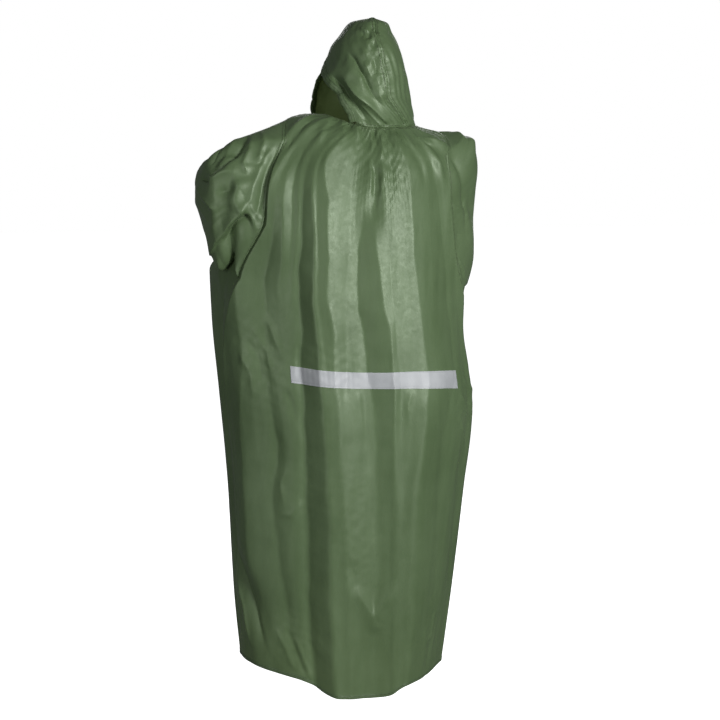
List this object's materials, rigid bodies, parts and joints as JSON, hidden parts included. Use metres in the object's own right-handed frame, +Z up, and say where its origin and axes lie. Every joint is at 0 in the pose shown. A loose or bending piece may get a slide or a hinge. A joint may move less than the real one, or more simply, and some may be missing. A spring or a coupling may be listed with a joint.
{
  "type": "hooded rain poncho",
  "caption": "Long hooded rain poncho with wide sleeves and a reflective band across the back, in its worn form, standing open and empty.",
  "frame": {"origin": "middle of the neck seam, at the height of its centre back point, where the wearer's shoulders carry the garment", "axes": "+Z up, the front faces -Y and the wearer's left side is +X"},
  "size_m": [0.6685, 0.4825, 1.5779],
  "materials": {
    "coated_taffeta": "olive green coated polyester taffeta with a satin sheen",
    "reflective_tape": "silver grey reflective tape"
  },
  "bodies": {
    "root": {"back_yoke": "coated_taffeta", "back_middle": "coated_taffeta", "back_skirt": "coated_taffeta", "front_yoke": "coated_taffeta", "front_middle": "coated_taffeta", "front_skirt": "coated_taffeta", "sleeve_left": "coated_taffeta", "sleeve_right": "coated_taffeta", "hood_left": "coated_taffeta", "hood_right": "coated_taffeta", "hood_casing": "coated_taffeta", "reflective_strip": "reflective_tape"}
  },
  "joints": []
}
